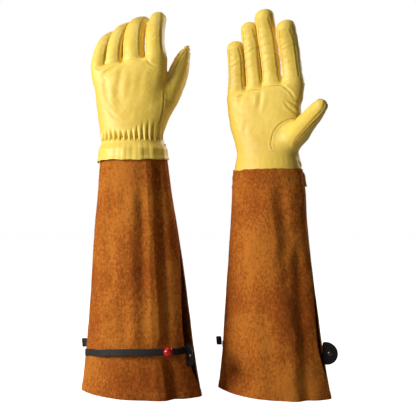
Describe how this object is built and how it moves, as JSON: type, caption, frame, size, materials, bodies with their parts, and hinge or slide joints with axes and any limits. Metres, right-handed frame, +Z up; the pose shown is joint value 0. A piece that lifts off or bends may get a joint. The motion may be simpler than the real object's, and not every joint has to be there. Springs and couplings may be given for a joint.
{
  "type": "beekeeping gloves",
  "caption": "Pair of leather gauntlet gloves with long flared suede cuffs, gathered wrists and a ball-and-tape closure, standing upright on the cuff hems.",
  "frame": {"origin": "on the surface the gloves stand on, at the middle of the pair's bounding box", "axes": "+Z up the gloves to the fingertips, +X across the pair towards the thumbs, -Y the front: left glove's back and right glove's palm face it"},
  "size_m": [0.3488, 0.151, 0.5199],
  "materials": {
    "suede": "split suede, matt, raw edges",
    "goatskin": "smooth grain leather, soft sheen",
    "thread": "twisted sewing thread",
    "tape": "ribbed elastic webbing",
    "elastic": "flat woven elastic",
    "ball": "gloss",
    "tab": "coated, soft gloss",
    "rivet": "black lacquer"
  },
  "bodies": {
    "left_cuff": {"left_palm_cuff": "suede", "left_back_cuff": "suede", "left_hem_thread": "thread", "left_cuff_thread": "thread", "left_closure_tape": "tape", "left_tape_tail": "tape", "left_wrist_band": "goatskin", "left_wrist_leather": "goatskin", "left_wrist_elastic": "elastic"},
    "left_hand": {"left_back_panel": "goatskin", "left_palm_panel": "goatskin", "left_thumb_gusset": "goatskin"},
    "left_index_finger": {"left_index_front": "goatskin", "left_index_back": "goatskin", "left_index_sidewalls": "goatskin"},
    "left_middle_finger": {"left_middle_front": "goatskin", "left_middle_back": "goatskin", "left_middle_sidewalls": "goatskin"},
    "left_ring_finger": {"left_ring_front": "goatskin", "left_ring_back": "goatskin", "left_ring_sidewalls": "goatskin"},
    "left_little_finger": {"left_little_front": "goatskin", "left_little_back": "goatskin", "left_little_sidewalls": "goatskin"},
    "left_thumb": {"left_thumb_front": "goatskin", "left_thumb_back": "goatskin", "left_thumb_welt": "goatskin"},
    "left_ball": {"left_closure_ball": "ball"},
    "left_tab": {"left_pull_tab": "tab", "left_tab_rivet": "rivet"},
    "right_cuff": {"right_palm_cuff": "suede", "right_back_cuff": "suede", "right_hem_thread": "thread", "right_cuff_thread": "thread", "right_closure_tape": "tape", "right_tape_tail": "tape", "right_wrist_band": "goatskin", "right_wrist_leather": "goatskin", "right_wrist_elastic": "elastic"},
    "right_hand": {"right_back_panel": "goatskin", "right_palm_panel": "goatskin", "right_thumb_gusset": "goatskin"},
    "right_index_finger": {"right_index_front": "goatskin", "right_index_back": "goatskin", "right_index_sidewalls": "goatskin"},
    "right_middle_finger": {"right_middle_front": "goatskin", "right_middle_back": "goatskin", "right_middle_sidewalls": "goatskin"},
    "right_ring_finger": {"right_ring_front": "goatskin", "right_ring_back": "goatskin", "right_ring_sidewalls": "goatskin"},
    "right_little_finger": {"right_little_front": "goatskin", "right_little_back": "goatskin", "right_little_sidewalls": "goatskin"},
    "right_thumb": {"right_thumb_front": "goatskin", "right_thumb_back": "goatskin", "right_thumb_welt": "goatskin"},
    "right_ball": {"right_closure_ball": "ball"},
    "right_tab": {"right_pull_tab": "tab", "right_tab_rivet": "rivet"}
  },
  "joints": [
    {"name": "left_wrist_bend", "type": "hinge", "parent": "left_cuff", "child": "left_hand", "pos_m": [-0.10603, 0.01679, 0.337], "axis": [-0.9781, 0.2079, 0], "range_deg": [-35, 35], "deforming": ["left_wrist_band", "left_wrist_leather", "left_wrist_elastic"]},
    {"name": "left_index_fold", "type": "hinge", "parent": "left_hand", "child": "left_index_finger", "pos_m": [-0.07288, 0.02426, 0.4448], "axis": [-0.9768, 0.2076, -0.0523], "range_deg": [0, 40]},
    {"name": "left_middle_fold", "type": "hinge", "parent": "left_hand", "child": "left_middle_finger", "pos_m": [-0.10194, 0.03044, 0.44063], "axis": [-0.9768, 0.2076, -0.0523], "range_deg": [0, 40]},
    {"name": "left_ring_fold", "type": "hinge", "parent": "left_hand", "child": "left_ring_finger", "pos_m": [-0.1279, 0.03596, 0.4369], "axis": [-0.978, 0.2079, -0.0175], "range_deg": [0, 40]},
    {"name": "left_little_fold", "type": "hinge", "parent": "left_hand", "child": "left_little_finger", "pos_m": [-0.14892, 0.04043, 0.43388], "axis": [-0.978, 0.2079, -0.0175], "range_deg": [0, 40]},
    {"name": "left_thumb_fold", "type": "hinge", "parent": "left_hand", "child": "left_thumb", "pos_m": [-0.06004, 0.03104, 0.355], "axis": [0.0782, -0.0166, 0.9968], "range_deg": [0, 40]},
    {"name": "left_ball_slide", "type": "hinge", "parent": "left_cuff", "child": "left_ball", "pos_m": [-0.0849, 0.07325, 0.0625], "axis": [0, 0, 1], "range_deg": [-45, 2]},
    {"name": "left_tab_swing", "type": "hinge", "parent": "left_cuff", "child": "left_tab", "pos_m": [-0.03429, -0.01267, 0.057], "axis": [0, 0, 1], "range_deg": [-33, 77]},
    {"name": "right_wrist_bend", "type": "hinge", "parent": "right_cuff", "child": "right_hand", "pos_m": [0.07373, 0.01818, 0.303], "axis": [0.9272, -0.3746, 0], "range_deg": [-35, 35], "deforming": ["right_wrist_band", "right_wrist_leather", "right_wrist_elastic"]},
    {"name": "right_index_fold", "type": "hinge", "parent": "right_hand", "child": "right_index_finger", "pos_m": [0.10052, -0.00796, 0.41133], "axis": [0.9243, -0.3735, 0.0785], "range_deg": [0, 75]},
    {"name": "right_middle_fold", "type": "hinge", "parent": "right_hand", "child": "right_middle_finger", "pos_m": [0.07591, 0.00198, 0.4076], "axis": [0.9237, -0.3732, 0.0872], "range_deg": [0, 75]},
    {"name": "right_ring_fold", "type": "hinge", "parent": "right_hand", "child": "right_ring_finger", "pos_m": [0.05287, 0.0113, 0.40411], "axis": [0.9249, -0.3737, 0.0698], "range_deg": [0, 75]},
    {"name": "right_little_fold", "type": "hinge", "parent": "right_hand", "child": "right_little_finger", "pos_m": [0.03046, 0.02035, 0.40071], "axis": [0.9266, -0.3744, 0.0349], "range_deg": [0, 75]},
    {"name": "right_thumb_fold", "type": "hinge", "parent": "right_hand", "child": "right_thumb", "pos_m": [0.10389, -0.01935, 0.321], "axis": [-0.0741, 0.0299, -0.9968], "range_deg": [0, 40]},
    {"name": "right_ball_slide", "type": "hinge", "parent": "right_cuff", "child": "right_ball", "pos_m": [0.05867, -0.04003, 0.0625], "axis": [0, 0, -1], "range_deg": [-45, 2]},
    {"name": "right_tab_swing", "type": "hinge", "parent": "right_cuff", "child": "right_tab", "pos_m": [0.15166, -0.00628, 0.057], "axis": [0, 0, -1], "range_deg": [-78, 40]},
    {"name": "pair_slide", "type": "slide", "parent": "left_cuff", "child": "right_cuff", "axis": [1, 0, 0], "range_m": [0, 0.3]}
  ]
}
